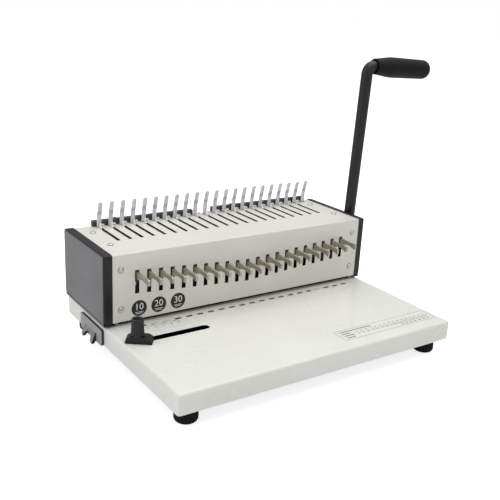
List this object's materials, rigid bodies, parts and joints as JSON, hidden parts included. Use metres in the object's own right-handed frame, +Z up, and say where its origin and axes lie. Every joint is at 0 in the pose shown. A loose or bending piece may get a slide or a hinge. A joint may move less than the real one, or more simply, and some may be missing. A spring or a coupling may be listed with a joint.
{
  "type": "comb binding machine",
  "caption": "Manual desktop comb binding machine with a side lever, punch selector tabs, upright comb fingers, an edge guide and a chip drawer.",
  "frame": {"origin": "centre of the whole object's box at the height of the feet's soles", "axes": "+X to the handle's side, -Y towards the user, +Z up"},
  "size_m": [0.4814, 0.273, 0.3234],
  "materials": {
    "ivory_coat": "ivory powder coat",
    "charcoal_plastic": "fine textured charcoal plastic",
    "black_paint": "satin black",
    "black_rubber": "matte black rubber",
    "nickel_plate": "satin nickel plated sheet steel",
    "tool_steel": "ground steel",
    "chrome_plate": "bright plated steel",
    "nylon": "natural nylon"
  },
  "bodies": {
    "root": {"base_tray": "ivory_coat", "bottom_plate": "tool_steel", "deck_screw_left_front": "chrome_plate", "deck_screw_left_rear": "chrome_plate", "deck_screw_right_front": "chrome_plate", "deck_screw_right_rear": "chrome_plate", "die_plate": "tool_steel", "fixed_comb": "chrome_plate", "foot_front_left": "black_rubber", "foot_front_right": "black_rubber", "foot_rear_left": "black_rubber", "foot_rear_right": "black_rubber", "housing_cover": "ivory_coat", "left_cap": "charcoal_plastic", "left_comb_bar": "black_paint", "left_shaft_bush": "nylon", "left_side_plate": "tool_steel", "panel_screw_left_lower": "chrome_plate", "panel_screw_left_upper": "chrome_plate", "panel_screw_right_lower": "chrome_plate", "panel_screw_right_upper": "chrome_plate", "rear_beam": "tool_steel", "return_spring": "tool_steel", "right_cap": "charcoal_plastic", "right_comb_bar": "black_paint", "right_shaft_bush": "nylon", "right_side_plate": "tool_steel", "stripper_plate": "tool_steel"},
    "handle": {"drive_shaft": "tool_steel", "left_drive_cam": "tool_steel", "right_drive_cam": "tool_steel", "handle_arm": "black_paint", "handle_grip": "black_rubber"},
    "press": {"press_bar": "tool_steel"},
    "rake": {"hook_rake": "nickel_plate"},
    "guide_carriage": {"guide_stud": "tool_steel"},
    "guide_block": {"guide_block": "charcoal_plastic"},
    "guide_knob": {"guide_knob": "black_paint"},
    "drawer": {"chip_drawer": "charcoal_plastic"},
    "tab_01": {"punch_tab_01": "nickel_plate"},
    "tab_02": {"punch_tab_02": "nickel_plate"},
    "tab_03": {"punch_tab_03": "nickel_plate"},
    "tab_04": {"punch_tab_04": "nickel_plate"},
    "tab_05": {"punch_tab_05": "nickel_plate"},
    "tab_06": {"punch_tab_06": "nickel_plate"},
    "tab_07": {"punch_tab_07": "nickel_plate"},
    "tab_08": {"punch_tab_08": "nickel_plate"},
    "tab_09": {"punch_tab_09": "nickel_plate"},
    "tab_10": {"punch_tab_10": "nickel_plate"},
    "tab_11": {"punch_tab_11": "nickel_plate"},
    "tab_12": {"punch_tab_12": "nickel_plate"},
    "tab_13": {"punch_tab_13": "nickel_plate"},
    "tab_14": {"punch_tab_14": "nickel_plate"},
    "tab_15": {"punch_tab_15": "nickel_plate"},
    "tab_16": {"punch_tab_16": "nickel_plate"},
    "tab_17": {"punch_tab_17": "nickel_plate"},
    "tab_18": {"punch_tab_18": "nickel_plate"},
    "tab_19": {"punch_tab_19": "nickel_plate"},
    "tab_20": {"punch_tab_20": "nickel_plate"},
    "tab_21": {"punch_tab_21": "nickel_plate"}
  },
  "joints": [
    {"name": "handle_swing", "type": "hinge", "parent": "root", "child": "handle", "pos_m": [-0.05375, 0.063, 0.0823], "axis": [1, 0, 0], "range_deg": [0, 80], "stiffness_Nm_per_rad": 0.5, "springref_deg": -45.84},
    {"name": "press_slide", "type": "slide", "parent": "root", "child": "press", "axis": [0, 0, -1], "range_m": [0, 0.0135]},
    {"name": "rake_slide", "type": "slide", "parent": "root", "child": "rake", "axis": [0, -1, 0], "range_m": [0, 0.03857]},
    {"name": "tab_01_pull", "type": "slide", "parent": "press", "child": "tab_01", "axis": [0, -1, 0], "range_m": [0, 0.006]},
    {"name": "tab_02_pull", "type": "slide", "parent": "press", "child": "tab_02", "axis": [0, -1, 0], "range_m": [0, 0.006]},
    {"name": "tab_03_pull", "type": "slide", "parent": "press", "child": "tab_03", "axis": [0, -1, 0], "range_m": [0, 0.006]},
    {"name": "tab_04_pull", "type": "slide", "parent": "press", "child": "tab_04", "axis": [0, -1, 0], "range_m": [0, 0.006]},
    {"name": "tab_05_pull", "type": "slide", "parent": "press", "child": "tab_05", "axis": [0, -1, 0], "range_m": [0, 0.006]},
    {"name": "tab_06_pull", "type": "slide", "parent": "press", "child": "tab_06", "axis": [0, -1, 0], "range_m": [0, 0.006]},
    {"name": "tab_07_pull", "type": "slide", "parent": "press", "child": "tab_07", "axis": [0, -1, 0], "range_m": [0, 0.006]},
    {"name": "tab_08_pull", "type": "slide", "parent": "press", "child": "tab_08", "axis": [0, -1, 0], "range_m": [0, 0.006]},
    {"name": "tab_09_pull", "type": "slide", "parent": "press", "child": "tab_09", "axis": [0, -1, 0], "range_m": [0, 0.006]},
    {"name": "tab_10_pull", "type": "slide", "parent": "press", "child": "tab_10", "axis": [0, -1, 0], "range_m": [0, 0.006]},
    {"name": "tab_11_pull", "type": "slide", "parent": "press", "child": "tab_11", "axis": [0, -1, 0], "range_m": [0, 0.006]},
    {"name": "tab_12_pull", "type": "slide", "parent": "press", "child": "tab_12", "axis": [0, -1, 0], "range_m": [0, 0.006]},
    {"name": "tab_13_pull", "type": "slide", "parent": "press", "child": "tab_13", "axis": [0, -1, 0], "range_m": [0, 0.006]},
    {"name": "tab_14_pull", "type": "slide", "parent": "press", "child": "tab_14", "axis": [0, -1, 0], "range_m": [0, 0.006]},
    {"name": "tab_15_pull", "type": "slide", "parent": "press", "child": "tab_15", "axis": [0, -1, 0], "range_m": [0, 0.006]},
    {"name": "tab_16_pull", "type": "slide", "parent": "press", "child": "tab_16", "axis": [0, -1, 0], "range_m": [0, 0.006]},
    {"name": "tab_17_pull", "type": "slide", "parent": "press", "child": "tab_17", "axis": [0, -1, 0], "range_m": [0, 0.006]},
    {"name": "tab_18_pull", "type": "slide", "parent": "press", "child": "tab_18", "axis": [0, -1, 0], "range_m": [0, 0.006]},
    {"name": "tab_19_pull", "type": "slide", "parent": "press", "child": "tab_19", "axis": [0, -1, 0], "range_m": [0, 0.006]},
    {"name": "tab_20_pull", "type": "slide", "parent": "press", "child": "tab_20", "axis": [0, -1, 0], "range_m": [0, 0.006]},
    {"name": "tab_21_pull", "type": "slide", "parent": "press", "child": "tab_21", "axis": [0, -1, 0], "range_m": [0, 0.006]},
    {"name": "guide_slide", "type": "slide", "parent": "root", "child": "guide_carriage", "axis": [1, 0, 0], "range_m": [-0.002, 0.081]},
    {"name": "guide_block_turn", "type": "hinge", "parent": "guide_carriage", "child": "guide_block", "pos_m": [-0.21675, -0.0192, 0.0403], "axis": [0, 0, 1], "range_deg": [-50, 130]},
    {"name": "guide_knob_turn", "type": "hinge", "parent": "guide_carriage", "child": "guide_knob", "pos_m": [-0.21675, -0.0192, 0.0403], "axis": [0, 0, 1], "continuous": true},
    {"name": "drawer_slide", "type": "slide", "parent": "root", "child": "drawer", "axis": [-1, 0, 0], "range_m": [0, 0.2]}
  ],
  "couplings": [
    {"joint": "press_slide", "follows": "handle_swing", "m_per_rad": 0.0096677},
    {"joint": "rake_slide", "follows": "handle_swing", "m_per_rad": 0.027619}
  ]
}
